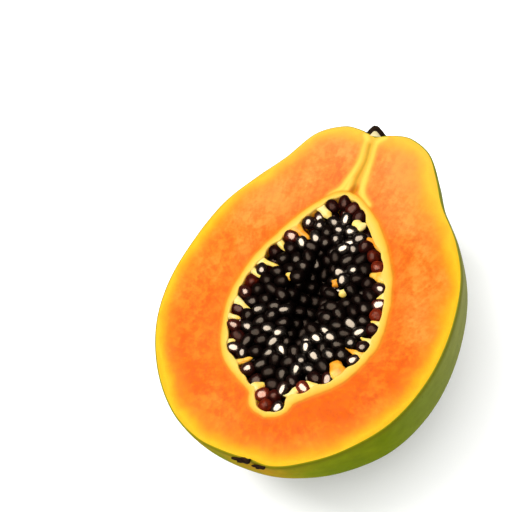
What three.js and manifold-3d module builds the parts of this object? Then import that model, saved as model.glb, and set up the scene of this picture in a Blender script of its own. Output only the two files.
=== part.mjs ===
// Half of a ripe papaya, cut lengthwise through the stem and lying on its skin.
// Millimetres. +Z is up, +X runs along the fruit to the stem, and the cut face is level.
// While the pieces are made, z = 0 is the cut face and y = 0 is the line from stem to blossom end.
import * as THREE from 'three';
import { mergeVertices } from 'three/addons/utils/BufferGeometryUtils.js';
import Module from 'manifold-3d';

const wasm = await Module();
wasm.setup();

// Cut edge of the skin: [place along the fruit, distance from the stem line], stem end first
const SKIN_RIGHT = [
  [77.2, 0], [79.3, 8], [78.8, 16.5], [72.5, 26.5], [61, 33.6], [48.5, 40], [33, 50.8], [15, 58.3],
  [-8, 60.7], [-30, 57.8], [-50, 49], [-65.5, 34], [-74.8, 18.5], [-78.2, 8], [-77.6, 0],
];
const SKIN_LEFT = [
  [77.2, 0], [80, 8], [80.4, 16.5], [74.5, 27.8], [60.5, 37], [48, 47], [33, 57], [13, 63.6],
  [-9, 67], [-30, 64.4], [-50, 55], [-65.5, 41.5], [-74, 27], [-76.9, 13], [-77.6, 0],
];
const SKIN_DEPTH = 1.04; // depth of the half over its half-width
const SKIN_FULLNESS = 0.05; // how far the sides swell beyond a round section
const SKIN_RIBS = 0.012; // height of the five soft ribs
const FLAT_SPOT = 1.3; // flesh pressed flat under the fruit, measured from the roundest point

// Edge of the seed hollow in the cut face, measured from its own line beside the stem line
const HOLLOW_Y = 2;
const HOLLOW_RIGHT = [
  [45.5, 0], [42.5, 6], [33.6, 14], [23, 20.8], [12, 26.4], [-1, 30.2], [-14, 31.3],
  [-26, 28.6], [-36.3, 21.6], [-44.3, 12], [-49, 5.8], [-52.5, 3], [-54, 0],
];
const HOLLOW_LEFT = [
  [45.5, 0], [43.8, 6], [35, 13.6], [24.3, 20.6], [13, 26.8], [0.5, 30.5], [-12.5, 31.9],
  [-25.2, 29.8], [-36, 24.5], [-43.8, 14.6], [-48.5, 7.5], [-52, 3.2], [-54, 0],
];
const HOLLOW_DEPTH = 1.02;
const HOLLOW_RIBS = 0.05; // the hollow is softly star-shaped

// The mass of seeds that lines the hollow, and the dark cleft left open along its middle
const GAP = 0.4; // air between touching pieces
const BED_TOP = -2.7; // height of the mass that the top seeds stand out of
const CLEFT = { x: -3, y: 3.5, halfLength: 27, halfWidth: 8.5, depth: 14.5 };
const SEED_LENGTH = 6;
const SEED_WIDTH = 5.4;
const SEED_ROWS = [ // distance of each row from the wall, spacing along it, height of its seeds
  { inset: 3.8, pitch: 6.2, height: -1.9 },
  { inset: 8.9, pitch: 5.7, height: -2.3 },
  { inset: 13.9, pitch: 5.7, height: -2.5 },
  { inset: 18.9, pitch: 5.7, height: -2.9 },
];
const CLEFT_ROWS = [ // seeds down the walls of the cleft: share of its depth
  { down: 0.34, pitch: 5.8 },
  { down: 0.68, pitch: 5.8 },
];
const SEED_JITTER = 0.55; // largest shift of a seed from its place in the row
const SEED_TILT = 0.6; // largest tilt out of the level, in radians
const SEED_YAW = 0.5; // largest turn away from the middle of the hollow, in radians
const SEED_AIM_X = -4; // the seeds point away from this place on the hollow's line
const CLEFT_EDGE = 0.92; // top seeds keep outside this share of the cleft's oval
const DRAW_SEED = 7;

// The cut stalk in the dent at the stem end, and the dried scar at the blossom end
const STALK = { x: 77.2, y: 0.6, baseRadius: 4.9, tipRadius: 1.9, length: 5.3, dent: 2.2 };
const STUB_SIDES = 20;
const STUB_WAIST = 0.3; // both are slightly hollow-sided
const STUB_CROWN = 0.3; // and slightly domed at the tip
const SCAR = { x: -77.6, y: 0.6, baseRadius: 4.2, tipRadius: 2.4, length: 1.9, dent: 0.6 };

const SKIN_STATIONS = 46;
const SKIN_SPOKES = 24;
const HOLLOW_STATIONS = 34;
const HOLLOW_SPOKES = 16;
const ROW_STATIONS = 120; // finer steps along the edge that the seed rows follow
const ROW_SLACK = 0.35; // a row may come this much nearer to the wall than it should
const CLEFT_STEPS = 90;
const CUTTER = 400; // larger than the fruit every way
const WELD = 1e-4;

function material(colour, roughness) {
  return new THREE.MeshStandardMaterial({ color: colour, roughness, metalness: 0 });
}

function profile(points) {
  return new THREE.SplineCurve(points.map(([along, reach]) => new THREE.Vector2(along, reach)));
}

const skinShape = {
  right: profile(SKIN_RIGHT),
  left: profile(SKIN_LEFT),
  length: SKIN_RIGHT[0][0] - SKIN_RIGHT.at(-1)[0],
  y: 0,
  depth: SKIN_DEPTH,
  swell: (angle) => 1 + SKIN_FULLNESS * Math.sin(2 * angle) ** 2 + SKIN_RIBS * Math.sin(5 * angle),
};

const hollowShape = {
  right: profile(HOLLOW_RIGHT),
  left: profile(HOLLOW_LEFT),
  length: HOLLOW_RIGHT[0][0] - HOLLOW_RIGHT.at(-1)[0],
  y: HOLLOW_Y,
  depth: HOLLOW_DEPTH,
  swell: (angle) => 1 + HOLLOW_RIBS * Math.sin(5 * angle),
};

// One point of a half-round surface: station 0 is the stem end and 1 the blossom end,
// and the angle runs from the right cut edge (0) under the fruit to the left one (PI)
function surfacePoint(shape, station, angle, inward) {
  const right = shape.right.getPoint(station);
  const left = shape.left.getPoint(station);
  const toRight = (1 + Math.cos(angle)) / 2;
  const along = right.x * toRight + left.x * (1 - toRight);
  const shorter = 1 - (2 * inward) / shape.length;
  const round = (right.y * toRight + left.y * (1 - toRight)) * shape.swell(angle);
  const reach = Math.max(round - inward, 0);
  return new THREE.Vector3(
    along * shorter,
    shape.y - reach * Math.cos(angle),
    -shape.depth * reach * Math.sin(angle),
  );
}

// Rows of points over the half-round surface, first and last row at its two end points
function surfaceGrid(shape, stations, spokes, inward = 0) {
  const rows = [];
  for (let i = 0; i <= stations; i += 1) {
    const row = [];
    for (let j = 0; j <= spokes; j += 1) {
      row.push(surfacePoint(shape, i / stations, (Math.PI * j) / spokes, inward));
    }
    rows.push(row);
  }
  return rows;
}

function cutEdge(rows) {
  const right = rows.map((row) => row[0]);
  const left = rows.map((row) => row[row.length - 1]);
  return [...right, ...left.slice(1, -1).reverse()];
}

class TriangleList {
  constructor() {
    this.numbers = [];
  }

  add(a, b, c) {
    if (a.distanceTo(b) > WELD && b.distanceTo(c) > WELD && c.distanceTo(a) > WELD) {
      this.numbers.push(...a.toArray(), ...b.toArray(), ...c.toArray());
    }
  }

  addGrid(rows, facingOut) {
    for (let i = 0; i + 1 < rows.length; i += 1) {
      for (let j = 0; j + 1 < rows[i].length; j += 1) {
        const [a, b] = [rows[i][j], rows[i][j + 1]];
        const [c, d] = [rows[i + 1][j], rows[i + 1][j + 1]];
        if (facingOut) {
          this.add(a, b, c);
          this.add(b, d, c);
        } else {
          this.add(a, c, b);
          this.add(b, c, d);
        }
      }
    }
  }

  // A level face between an outer edge and, if there is one, an inner edge
  addLevelFace(outer, inner = []) {
    const flat = (point) => new THREE.Vector2(point.x, point.y);
    const edges = [outer.map(flat), inner.map(flat)];
    const holes = inner.length ? [edges[1]] : [];
    const points = [...outer, ...inner];
    for (const [a, b, c] of THREE.ShapeUtils.triangulateShape(edges[0], holes)) {
      const [p, q, r] = [points[a], points[b], points[c]];
      const turn = (q.x - p.x) * (r.y - p.y) - (q.y - p.y) * (r.x - p.x);
      if (turn > 0) {
        this.add(p, q, r);
      } else {
        this.add(p, r, q);
      }
    }
  }

  geometry() {
    const made = new THREE.BufferGeometry();
    made.setAttribute('position', new THREE.Float32BufferAttribute(this.numbers, 3));
    return mergeVertices(made, WELD);
  }
}

function toSolid(geometry) {
  const bare = geometry.index ? geometry.toNonIndexed() : geometry.clone();
  bare.deleteAttribute('normal');
  bare.deleteAttribute('uv');
  const welded = mergeVertices(bare, WELD);
  return new wasm.Manifold(new wasm.Mesh({
    numProp: 3,
    vertProperties: new Float32Array(welded.attributes.position.array),
    triVerts: new Uint32Array(welded.index.array),
  }));
}

function toGeometry(solid) {
  const mesh = solid.getMesh();
  const made = new THREE.BufferGeometry();
  made.setAttribute('position', new THREE.Float32BufferAttribute(mesh.vertProperties, 3));
  made.setIndex([...mesh.triVerts]);
  return made;
}

// Boxes that cut away everything above a height, or everything below it
function allAbove(height) {
  const box = new THREE.BoxGeometry(CUTTER, CUTTER, CUTTER);
  box.translate(0, 0, height + CUTTER / 2);
  return toSolid(box);
}

function allBelow(height) {
  const box = new THREE.BoxGeometry(CUTTER, CUTTER, CUTTER);
  box.translate(0, 0, height - CUTTER / 2);
  return toSolid(box);
}

// A repeatable sequence of numbers between -1 and 1
function sequence(seed) {
  let state = seed;
  return () => {
    state = (Math.imul(state, 1664525) + 1013904223) >>> 0;
    return (state / 4294967296) * 2 - 1;
  };
}

// The fruit: skin below, level cut face above, with the seed hollow sunk into it
function fruitHalf() {
  const skin = surfaceGrid(skinShape, SKIN_STATIONS, SKIN_SPOKES);
  const hollow = surfaceGrid(hollowShape, HOLLOW_STATIONS, HOLLOW_SPOKES);
  const triangles = new TriangleList();
  triangles.addGrid(skin, false);
  triangles.addGrid(hollow, true);
  triangles.addLevelFace(cutEdge(skin), cutEdge(hollow));
  const lowest = Math.min(...skin.flat().map((point) => point.z));
  const whole = toSolid(triangles.geometry());
  return whole.subtract(allBelow(lowest + FLAT_SPOT));
}

// An oval seed, rolled about its length, tilted out of the level, then turned to its heading
function seedSolid(place, roll, tilt, heading) {
  const seed = new THREE.IcosahedronGeometry(SEED_WIDTH / 2, 0);
  seed.scale(SEED_LENGTH / SEED_WIDTH, 1, 1);
  seed.rotateX(roll);
  seed.rotateY(tilt);
  seed.rotateZ(heading);
  seed.translate(place.x, place.y, place.z);
  return toSolid(seed);
}

// Evenly spaced places along a closed edge, half a step further on in every other row
function spacedAlong(edge, pitch, half) {
  const lengths = edge.map((point, i) => point.distanceTo(edge[(i + 1) % edge.length]));
  const around = lengths.reduce((sum, length) => sum + length, 0);
  const count = Math.floor(around / pitch);
  const places = [];
  let passed = 0;
  let side = 0;
  for (let k = 0; k < count; k += 1) {
    const goal = ((k + (half ? 0.5 : 0)) * around) / count;
    while (passed + lengths[side] < goal) {
      passed += lengths[side];
      side += 1;
    }
    const next = edge[(side + 1) % edge.length];
    places.push(edge[side].clone().lerp(next, (goal - passed) / lengths[side]));
  }
  return places;
}

// The edge of the hollow moved inward, keeping only what stays that far from it
function insetEdge(edge, inset) {
  const moved = edge.map((point, i) => {
    const before = edge[(i + edge.length - 1) % edge.length];
    const after = edge[(i + 1) % edge.length];
    const tangent = after.clone().sub(before).normalize();
    const inward = new THREE.Vector3(tangent.y, -tangent.x, 0);
    return point.clone().addScaledVector(inward, inset);
  });
  const clearance = (point) => Math.min(...edge.map((other) => other.distanceTo(point)));
  return moved.filter((point) => clearance(point) > inset - ROW_SLACK);
}

// Where the seeds sit: rows that follow the wall, then rings down the sides of the cleft
function seedPlaces() {
  const edge = cutEdge(surfaceGrid(hollowShape, ROW_STATIONS, 2));
  const places = [];
  SEED_ROWS.forEach((row, i) => {
    for (const place of spacedAlong(insetEdge(edge, row.inset), row.pitch, i % 2 === 1)) {
      places.push({ point: place.setZ(row.height), inCleft: false });
    }
  });
  CLEFT_ROWS.forEach((row, i) => {
    const share = Math.sqrt(1 - row.down ** 2);
    const ring = [];
    for (let k = 0; k < CLEFT_STEPS; k += 1) {
      const angle = (-2 * Math.PI * k) / CLEFT_STEPS;
      ring.push(new THREE.Vector3(
        CLEFT.x + CLEFT.halfLength * share * Math.cos(angle),
        CLEFT.y + CLEFT.halfWidth * share * Math.sin(angle),
        -CLEFT.depth * row.down,
      ));
    }
    for (const point of spacedAlong(ring, row.pitch, i % 2 === 0)) {
      places.push({ point, inCleft: true });
    }
  });
  return places;
}

function overCleft(point) {
  const along = (point.x - CLEFT.x) / CLEFT.halfLength;
  const across = (point.y - CLEFT.y) / CLEFT.halfWidth;
  return along ** 2 + across ** 2 < CLEFT_EDGE;
}

// The body that fills the hollow a gap clear of its wall, below the seeds' tops
function bed() {
  const wall = surfaceGrid(hollowShape, HOLLOW_STATIONS, HOLLOW_SPOKES, GAP);
  const triangles = new TriangleList();
  triangles.addGrid(wall, false);
  triangles.addLevelFace(cutEdge(wall));
  const room = toSolid(triangles.geometry());
  const cleft = new THREE.SphereGeometry(1, 22, 14);
  cleft.scale(CLEFT.halfLength, CLEFT.halfWidth, CLEFT.depth);
  cleft.translate(CLEFT.x, CLEFT.y, 0);
  return room.subtract(allAbove(BED_TOP)).subtract(toSolid(cleft));
}

// The seeds stand out of the bed, and the whole mass is one body
function seedMass() {
  const draw = sequence(DRAW_SEED);
  const seeds = [];
  for (const { point, inCleft } of seedPlaces()) {
    const shift = new THREE.Vector3(draw(), draw(), draw()).multiplyScalar(SEED_JITTER);
    const outward = Math.atan2(point.y - HOLLOW_Y, point.x - SEED_AIM_X);
    const [roll, tilt, yaw] = [Math.PI * draw(), SEED_TILT * draw(), SEED_YAW * draw()];
    if (inCleft || !overCleft(point)) {
      seeds.push(seedSolid(point.clone().add(shift), roll, tilt, outward + yaw));
    }
  }
  const bodies = wasm.Manifold.union([bed(), ...seeds]).decompose();
  bodies.sort((a, b) => b.volume() - a.volume());
  return bodies[0];
}

// A short round stub on the fruit's end, halved by the same cut as the fruit
function halfStub(stub) {
  const towards = Math.sign(stub.x);
  const waist = (stub.baseRadius + stub.tipRadius) / 2 - STUB_WAIST;
  const outline = [
    [0, GAP],
    [stub.baseRadius, stub.dent + GAP],
    [waist, (stub.dent + stub.length) / 2 + GAP],
    [stub.tipRadius, stub.length],
    [0, stub.length + STUB_CROWN],
  ];
  const points = outline.map(([radius, along]) => new THREE.Vector2(radius, along));
  const turned = new THREE.LatheGeometry(points, STUB_SIDES);
  turned.rotateZ((-towards * Math.PI) / 2);
  turned.translate(stub.x, stub.y, 0);
  return toSolid(turned).subtract(allAbove(0));
}

function piece(name, solid, look) {
  const mesh = new THREE.Mesh(toGeometry(solid), look);
  mesh.name = name;
  return mesh;
}

const papayaHalf = new THREE.Group();
papayaHalf.add(piece('fruit_half', fruitHalf(), material(0xf08030, 0.45)));
papayaHalf.add(piece('seeds', seedMass(), material(0x120b0a, 0.2)));
papayaHalf.add(piece('stem_stub', halfStub(STALK), material(0x3a2a1a, 0.8)));
papayaHalf.add(piece('blossom_scar', halfStub(SCAR), material(0x4a3218, 0.85)));

// The origin is under the middle of the fruit's box, on the surface that it rests on
const box = new THREE.Box3().setFromObject(papayaHalf);
const middle = box.getCenter(new THREE.Vector3());
papayaHalf.position.set(-middle.x, -middle.y, -box.min.z);

export default papayaHalf;
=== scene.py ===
# %% [markdown]
# # Half of a ripe papaya
# A papaya cut lengthwise lies on its skin with the cut face up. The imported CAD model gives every
# piece its place and size. This lesson dresses it: the skin and the flesh become one fine mesh, the
# hollow is filled with wet black seeds, and each surface gets a procedural material.
# Outlines are written in millimetres, as in the CAD source, and turned to metres in one place.

# %% Load the fixed frame
import math
from functools import partial

import bmesh
import bpy
import numpy as np
from mathutils import Matrix, Vector


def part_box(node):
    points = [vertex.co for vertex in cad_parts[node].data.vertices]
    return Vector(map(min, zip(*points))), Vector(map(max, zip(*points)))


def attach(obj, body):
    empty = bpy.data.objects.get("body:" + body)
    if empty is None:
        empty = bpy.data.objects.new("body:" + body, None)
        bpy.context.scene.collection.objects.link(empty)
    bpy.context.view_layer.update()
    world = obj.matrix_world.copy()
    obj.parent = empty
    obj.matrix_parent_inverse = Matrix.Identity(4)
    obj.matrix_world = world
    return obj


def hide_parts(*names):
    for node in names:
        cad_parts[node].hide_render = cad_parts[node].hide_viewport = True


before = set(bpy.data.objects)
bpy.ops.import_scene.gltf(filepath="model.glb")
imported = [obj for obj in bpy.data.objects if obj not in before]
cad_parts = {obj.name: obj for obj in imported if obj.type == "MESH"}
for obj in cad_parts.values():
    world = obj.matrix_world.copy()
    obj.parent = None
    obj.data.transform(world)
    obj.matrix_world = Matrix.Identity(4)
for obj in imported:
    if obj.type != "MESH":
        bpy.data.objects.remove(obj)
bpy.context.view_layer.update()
MM = 0.001
print("CAD nodes:", sorted(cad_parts))

# %% [markdown]
# ## The outline of the cut
# The cut face is not a circle or an ellipse: it has a neck, two shoulders round the stem and a blunt
# blossom end, and its two sides differ. A few points on each side hold all of that. Each one says
# how far along the fruit it lies, and how far from the line between stem and blossom end. The
# hollow is up to a millimetre wider here than in the CAD, and its nose is longer and blunter.

# %% Points of the skin and of the hollow
SKIN_RIGHT = [
    (77.2, 0), (79.3, 8), (78.8, 16.5), (72.5, 26.5), (61, 33.6), (48.5, 40), (33, 50.8), (15, 58.3),
    (-8, 60.7), (-30, 57.8), (-50, 49), (-65.5, 34), (-74.8, 18.5), (-78.2, 8), (-77.6, 0),
]
SKIN_LEFT = [
    (77.2, 0), (80, 8), (80.4, 16.5), (74.5, 27.8), (60.5, 37), (48, 47), (33, 57), (13, 63.6),
    (-9, 67), (-30, 64.4), (-50, 55), (-65.5, 41.5), (-74, 27), (-76.9, 13), (-77.6, 0),
]
HOLLOW_RIGHT = [
    (45.5, 0), (42.5, 6), (33.8, 14.8), (23.2, 21.9), (12, 27.5), (-1, 31.3), (-14, 32.3),
    (-26, 29.4), (-36.3, 22.2), (-44.3, 12.4), (-49, 7.4), (-53.8, 5.4), (-56.4, 0),
]
HOLLOW_LEFT = [
    (45.5, 0), (43.8, 6), (35, 13.6), (24.3, 20.6), (13, 26.8), (0.5, 30.5), (-12.5, 31.9),
    (-25.2, 29.8), (-36, 24.5), (-43.8, 14.6), (-48.5, 7.9), (-53.8, 5.9), (-56.4, 0),
]
HOLLOW_Y = 2.0  # the middle line of the hollow lies a little to the left
print("skin points a side:", len(SKIN_RIGHT), " hollow points a side:", len(HOLLOW_RIGHT))

# %% [markdown]
# ## A smooth curve through the points
# Blender's curve objects could draw the outline, but the meshes and the materials need places on it
# as numbers. A Catmull-Rom curve is short to write and passes through its points, so each point
# stays a real place on the fruit.

# %% Smooth curve
def spline(points, stations):
    """Places on the smooth curve through the points; stations run from 0 to 1."""
    knots = np.array(points, float)
    last = len(knots) - 1
    place = np.clip(stations, 0, 1) * last
    index = np.minimum(place.astype(int), last - 1)
    part = (place - index)[:, None]
    before, start = knots[np.maximum(index - 1, 0)], knots[index]
    end, after = knots[index + 1], knots[np.minimum(index + 2, last)]
    leave, arrive = (end - before) / 2, (after - start) / 2
    cubic = 2 * start - 2 * end + leave + arrive
    square = 3 * end - 3 * start - 2 * leave - arrive
    return cubic * part**3 + square * part**2 + leave * part + start


print("halfway down the right side:", spline(SKIN_RIGHT, np.array([0.5])).round(1))

# %% [markdown]
# ## A half-round body from two profiles
# Under the cut the fruit is round, a little fuller than a circle, with five soft ribs. One formula
# makes both the skin and the wall of the hollow: at each station along the fruit a half circle
# blends from the right profile to the left one. A lathe would give two equal sides, and sculpting
# could not be repeated, so a formula is the plain way.

# %% The two half-round surfaces
SKIN = {
    "right": SKIN_RIGHT, "left": SKIN_LEFT, "y": 0.0, "depth": 1.04,
    "swell": lambda angle: 1 + 0.05 * np.sin(2 * angle) ** 2 + 0.012 * np.sin(5 * angle),
}
HOLLOW = {
    "right": HOLLOW_RIGHT, "left": HOLLOW_LEFT, "y": HOLLOW_Y, "depth": 1.02,
    "swell": lambda angle: 1 + 0.05 * np.sin(5 * angle),
}
LEAST_REACH = 5.0  # near the two tips the steps stop getting finer


def half_round(shape, stations, angles):
    """Points at each station (rows) and angle (columns), from the right cut edge to the left."""
    right = spline(shape["right"], stations)
    left = spline(shape["left"], stations)
    to_right = (1 + np.cos(angles)) / 2
    along = right[:, :1] * to_right + left[:, :1] * (1 - to_right)
    reach = (right[:, 1:] * to_right + left[:, 1:] * (1 - to_right)) * shape["swell"](angles)
    across = shape["y"] - reach * np.cos(angles)
    return np.stack([along, across, -shape["depth"] * reach * np.sin(angles)], -1)


def near_edge_angles(shape, stations, steps, middle):
    """Angles with fine steps just under each cut edge and even steps between them."""
    sides = []
    for side in ("right", "left"):
        reach = np.maximum(spline(shape[side], stations)[:, 1:], LEAST_REACH)
        sides.append(np.arcsin(np.array(steps) / (shape["depth"] * reach)))
    share = np.linspace(0, 1, middle + 2)[1:-1]
    first, last = sides[0][:, -1:], np.pi - sides[1][:, -1:]
    return np.hstack([sides[0], first + (last - first) * share, np.pi - sides[1][:, ::-1]])


for label, shape in (("skin", SKIN), ("hollow", HOLLOW)):
    lowest = half_round(shape, np.array([0.5]), np.array([[np.pi / 2]]))[0, 0, 2]
    print(label, "is", round(float(-lowest), 1), "mm deep halfway along")

# %% [markdown]
# ## Lines on the cut face
# The bands of colour in the flesh follow its edges, so the materials need distances. Three helpers
# give a surface's closed outline in the cut face, the way in from it, and the distance to a line.

# %% Helpers for lines on the cut face
def cut_edge(shape, stations):
    """The closed outline in the cut face: down the right side and back up the left."""
    right = spline(shape["right"], stations) * (1, -1) + (0, shape["y"])
    left = spline(shape["left"], stations) * (1, 1) + (0, shape["y"])
    return np.vstack([right, left[-2:0:-1]])


def inward(edge):
    """Unit directions that point into a closed outline that runs clockwise seen from above."""
    tangent = np.roll(edge, -1, 0) - np.roll(edge, 1, 0)
    tangent /= np.linalg.norm(tangent, axis=1, keepdims=True)
    return np.stack([tangent[:, 1], -tangent[:, 0]], 1)


def closed_line(ring):
    """The ring with its first entry repeated at the end."""
    return np.concatenate([ring, ring[:1]])


def distance_to(points, line, chunk=4000):
    """Distance from each point to the nearest side of a line of points, in the plane."""
    start, side = line[:-1], np.diff(line, axis=0)
    length = (side**2).sum(1)
    found = []
    for i in range(0, len(points), chunk):
        offset = points[i:i + chunk, None, :2] - start
        part = np.clip((offset * side).sum(2) / length, 0, 1)
        found.append(np.sqrt(((offset - part[..., None] * side) ** 2).sum(2).min(1)))
    return np.concatenate(found)


fine_stations = np.linspace(0, 1, 2001)
skin_edge_fine = cut_edge(SKIN, fine_stations)
print("the cut face is", np.ptp(skin_edge_fine, axis=0).round(1), "mm long and wide")

# %% [markdown]
# ## Where the model stands
# While the pieces are made, height 0 is the cut face. The CAD puts the origin under the middle of
# the fruit, on the surface. The fruit's own box in the frame gives the shift between the two.

# %% Shift from the cut face to the frame
fruit_low, fruit_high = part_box("fruit_half")
middle = (skin_edge_fine.min(0) + skin_edge_fine.max(0)) / 2
SHIFT = np.array([
    (fruit_low.x + fruit_high.x) / 2 / MM - middle[0],
    (fruit_low.y + fruit_high.y) / 2 / MM - middle[1],
    fruit_high.z / MM,
])
print("cut face is", round(float(SHIFT[2]), 2), "mm above the surface; shift", SHIFT.round(3))

# %% [markdown]
# ## Small tools for meshes
# All pieces are grids of points bent into shape, so one helper lists the faces of a grid and one
# turns points and faces into an object. Grids that share an edge are welded, and the readings that
# a material needs, such as the distance to the skin, ride along as point attributes in millimetres.

# %% Mesh helpers
WELD = 2e-6


def grid_faces(rows, columns, start=0, closed=False):
    """Four-sided faces of a grid; a closed grid joins its last column to its first."""
    i, j = np.meshgrid(np.arange(rows - 1), np.arange(columns - (not closed)), indexing="ij")
    here, following = i * columns + j, i * columns + (j + 1) % columns
    return start + np.stack([here, following, following + columns, here + columns], -1).reshape(-1, 4)


def capped_faces(rows, columns, start=0, closed=True):
    """Faces of a tube or half tube: its grid and a flat end at each side."""
    last = start + (rows - 1) * columns
    ends = [list(range(start, start + columns))[::-1], list(range(last, last + columns))]
    return grid_faces(rows, columns, start, closed).tolist() + ends


def make_piece(name, points, faces, materials, slots=None, readings=None):
    """A welded, smooth mesh object from points in millimetres measured from the cut face."""
    mesh = bpy.data.meshes.new(name)
    faces = faces.tolist() if isinstance(faces, np.ndarray) else faces
    mesh.from_pydata(((np.asarray(points) + SHIFT) * MM).tolist(), [], faces)
    for material in materials:
        mesh.materials.append(material)
    if slots is not None:
        mesh.polygons.foreach_set("material_index", np.asarray(slots, np.int32))
    for label, values in (readings or {}).items():
        attribute = mesh.attributes.new(label, "FLOAT", "POINT")
        attribute.data.foreach_set("value", np.asarray(values, np.float32))
    work = bmesh.new()
    work.from_mesh(mesh)
    bmesh.ops.remove_doubles(work, verts=work.verts, dist=WELD)
    bmesh.ops.recalc_face_normals(work, faces=work.faces)
    work.to_mesh(mesh)
    work.free()
    mesh.shade_smooth()
    piece = bpy.data.objects.new(name, mesh)
    bpy.context.scene.collection.objects.link(piece)
    print(name, "has", len(mesh.polygons), "faces")
    return piece


print("a grid of 3 rows and 4 columns has", len(grid_faces(3, 4)), "faces")

# %% [markdown]
# ## Small tools for materials
# Colours are written as sRGB hex, as a picture editor shows them, and one function turns them to
# the linear values that Blender mixes. One more function adds a node, sets it and links it; each
# material gets its own copy, called add. Inputs go by name, or as a list in the node's own order: a
# Map Range node takes the value, the range it comes from and the range it goes to. A node given as
# an input is linked by its output.

# %% Material helpers
def linear(hex_colour, alpha=1.0):
    """Linear red, green, blue and alpha from an sRGB hex colour."""
    parts = [int(hex_colour[i:i + 2], 16) / 255 for i in (1, 3, 5)]
    return [p / 12.92 if p <= 0.04045 else ((p + 0.055) / 1.055) ** 2.4 for p in parts] + [alpha]


def add_node(tree, kind, inputs=(), stops=(), **settings):
    """Adds a node with its settings and links; stops of place, colour and cover fill a ramp."""
    node = tree.nodes.new("ShaderNode" + kind)
    for name, value in settings.items():
        setattr(node, name, value)
    for name, value in (inputs.items() if isinstance(inputs, dict) else enumerate(inputs)):
        if isinstance(value, bpy.types.Node):
            value = next(output for output in value.outputs if output.enabled)
        elif isinstance(value, str):
            value = linear(value)
        if isinstance(value, bpy.types.NodeSocket):
            tree.links.new(value, node.inputs[name])
        else:
            node.inputs[name].default_value = value
    if stops:
        elements = node.color_ramp.elements
        for i, end in ((0, stops[0]), (1, stops[-1])):
            elements[i].position = end[0]
            elements[i].color = linear(*end[1:])
        for stop in stops[1:-1]:
            elements.new(stop[0]).color = linear(*stop[1:])
    return node


def new_material(name):
    """An empty node material, and add, which puts nodes in its tree."""
    material = bpy.data.materials.new(name)
    material.use_nodes = True
    material.node_tree.nodes.clear()
    return material, partial(add_node, material.node_tree)


def finish_material(add, inputs):
    """Ends a material in one Principled shader with the given inputs."""
    shader = add("BsdfPrincipled", inputs)
    add("OutputMaterial", {"Surface": shader})
    print("material with", len(shader.id_data.nodes), "nodes")


def per_mm(size):
    """The texture scale that gives a pattern this many millimetres across."""
    return 1 / (size * MM)


print("middle grey #808080 is", round(linear("#808080")[0], 3), "in linear light")

# %% [markdown]
# ## Flesh
# Ripe papaya flesh is soft, wet plant tissue cut by a knife: light enters it and comes out a few
# millimetres away, so the shader scatters light below the surface. A painted picture could carry its
# bands of colour, but each band is a distance from the skin, the hollow or a strand. So the mesh
# stores those distances, and the bands follow the real outline on every side.
# First comes the grain: cells, soft blotches, and faint fibres that run from the hollow to the skin.

# %% Flesh: readings and grain
FRUIT_READINGS = (
    "edge_mm", "hollow_mm", "lining_mm", "strand_mm", "core_mm", "pit_mm", "stem_mm", "around_mm",
    "below_mm",
)
CELL_MM = 1.9  # real cells are finer: this is as coarse as they need to be to show
BLOTCH_MM = 5.5
FIBRES_PER_MM = (0.55, 0.07, 1.0)  # about 2 mm wide and 14 mm long
FIBRE_SHARE = 0.45

flesh_material, add = new_material("papaya_flesh_knife_cut")
read = {
    label: add("Attribute", attribute_name=label).outputs["Fac"]
    for label in FRUIT_READINGS
}
place = add("TexCoord").outputs["Object"]
cells = add("TexNoise", {"Vector": place, "Scale": per_mm(CELL_MM), "Detail": 4.0, "Roughness": 0.6})
fibre_place = add("CombineXYZ", {"X": read["around_mm"], "Y": read["hollow_mm"]})
fibre_scale = add("VectorMath", [fibre_place, FIBRES_PER_MM], operation="MULTIPLY")
fibres = add("TexNoise", {"Vector": fibre_scale, "Scale": 1.0, "Detail": 3.0})
blotches = add("TexNoise", {"Vector": place, "Scale": per_mm(BLOTCH_MM), "Detail": 3.0})
soft_grain = add("Math", [fibres, FIBRE_SHARE, blotches], operation="MULTIPLY_ADD")
grain = add("Math", [cells, soft_grain], operation="ADD")
print("readings on the mesh:", ", ".join(read))

# %% [markdown]
# The orange deepens with the distance from the stem: partly ripening, which starts at the blossom
# end, and partly painted light, the flesh towards the stem painted lighter and yellower as if more
# light fell there. It also varies in patches some centimetres across, and is deepest round the
# lining. The grain shifts the orange a little lighter or redder, because darkening alone would look
# like dirt.

# %% Flesh: the orange
PATCH_MM = 26
GRAIN_RANGE = (1.02, 1.42)  # where nearly all values of the grain lie
GRAIN_TONE = 0.1
GRAIN_SHADE = (0.82, 1.12)

patches = add("TexNoise", {"Vector": place, "Scale": per_mm(PATCH_MM), "Detail": 2.0})
# Partly painted light: the flesh is painted lighter towards the stem, on top of its ripening.
ripening_and_painted_light = add("MapRange", [read["stem_mm"], 20.0, 140.0, -0.09, 0.18])
tone = add("Math", [patches, ripening_and_painted_light], operation="ADD")
grain_tone = add("MapRange", [grain, *GRAIN_RANGE, GRAIN_TONE, -GRAIN_TONE])
grained = add("Math", [tone, grain_tone], operation="ADD")
orange = add("ValToRGB", [grained], stops=[(0.30, "#F89036"), (0.52, "#F67D1A"), (0.75, "#F56604")])
near_hollow = add("MapRange", [read["hollow_mm"], 3.5, 13.0, 0.75, 0.0])
deep = add("Mix", {"Factor": near_hollow, 6: orange, 7: "#F66A08"}, data_type="RGBA")
grain_shade = add("MapRange", [grain, *GRAIN_RANGE, *GRAIN_SHADE])
flesh_colour = add("VectorMath", {0: deep, "Scale": grain_shade}, operation="SCALE")
print("nodes so far:", len(flesh_colour.id_data.nodes))

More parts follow.
